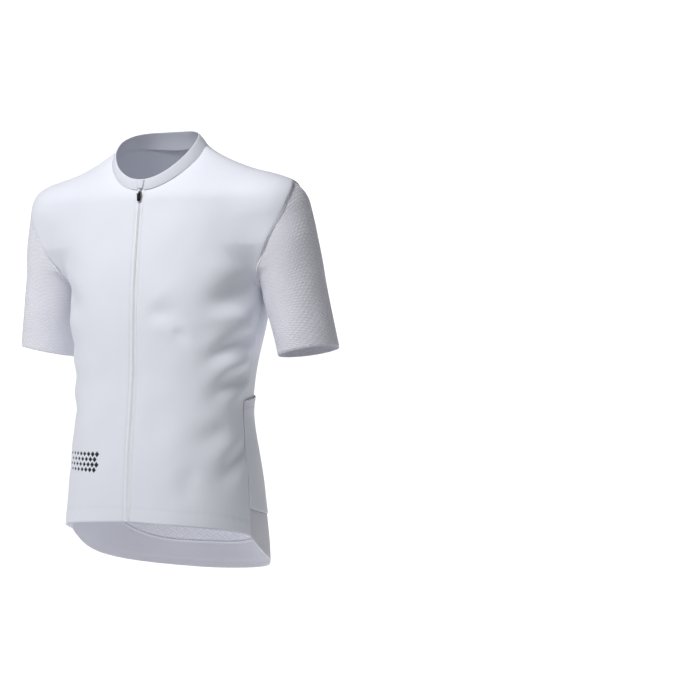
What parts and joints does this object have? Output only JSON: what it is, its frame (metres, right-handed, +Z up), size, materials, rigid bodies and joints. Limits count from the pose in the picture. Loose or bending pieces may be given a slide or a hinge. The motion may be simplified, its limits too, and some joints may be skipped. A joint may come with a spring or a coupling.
{
  "type": "cycling jersey",
  "caption": "Short-sleeved cycling jersey with a full-length front zip, a stand collar and open rear pockets, filled out as worn.",
  "frame": {"origin": "between the shoulders, on the middle plane, at the height where the shoulder seams meet the collar, where the wearer's shoulders hold the jersey", "axes": "+Z up, the front faces -Y, the wearer's left is +X"},
  "size_m": [0.5368, 0.2597, 0.6874],
  "materials": {
    "smooth_knit": "smooth fine warp knit, white, with a soft sheen",
    "textured_knit": "knit with small raised diagonal dashes, white, matt",
    "hem_knit": "smooth knit, slightly greyer, matt",
    "zip_white": "white woven tape and moulded teeth",
    "reflective": "grey reflective film with a fine bead texture",
    "black_metal": "black satin paint"
  },
  "bodies": {
    "jersey": {"front_left": "smooth_knit", "front_right": "smooth_knit", "back": "smooth_knit", "sleeve_left": "textured_knit", "sleeve_right": "textured_knit", "collar": "smooth_knit", "tail_panel": "textured_knit", "hem_band": "hem_knit", "reflective_strip": "reflective", "pocket_left": "smooth_knit", "pocket_centre": "smooth_knit", "pocket_right": "smooth_knit", "pocket_band_left": "smooth_knit", "pocket_band_centre": "smooth_knit", "pocket_band_right": "smooth_knit", "zip_tape_left": "zip_white", "zip_tape_right": "zip_white", "zip_chain": "zip_white", "zip_stop": "zip_white", "zip_garage": "smooth_knit", "zip_slider": "black_metal"},
    "tab": {"zip_pull": "black_metal"}
  },
  "joints": [
    {"name": "tab_swing", "type": "hinge", "parent": "jersey", "child": "tab", "pos_m": [0, -0.10742, -0.07529], "axis": [-1, 0, 0], "range_deg": [0, 150]}
  ]
}
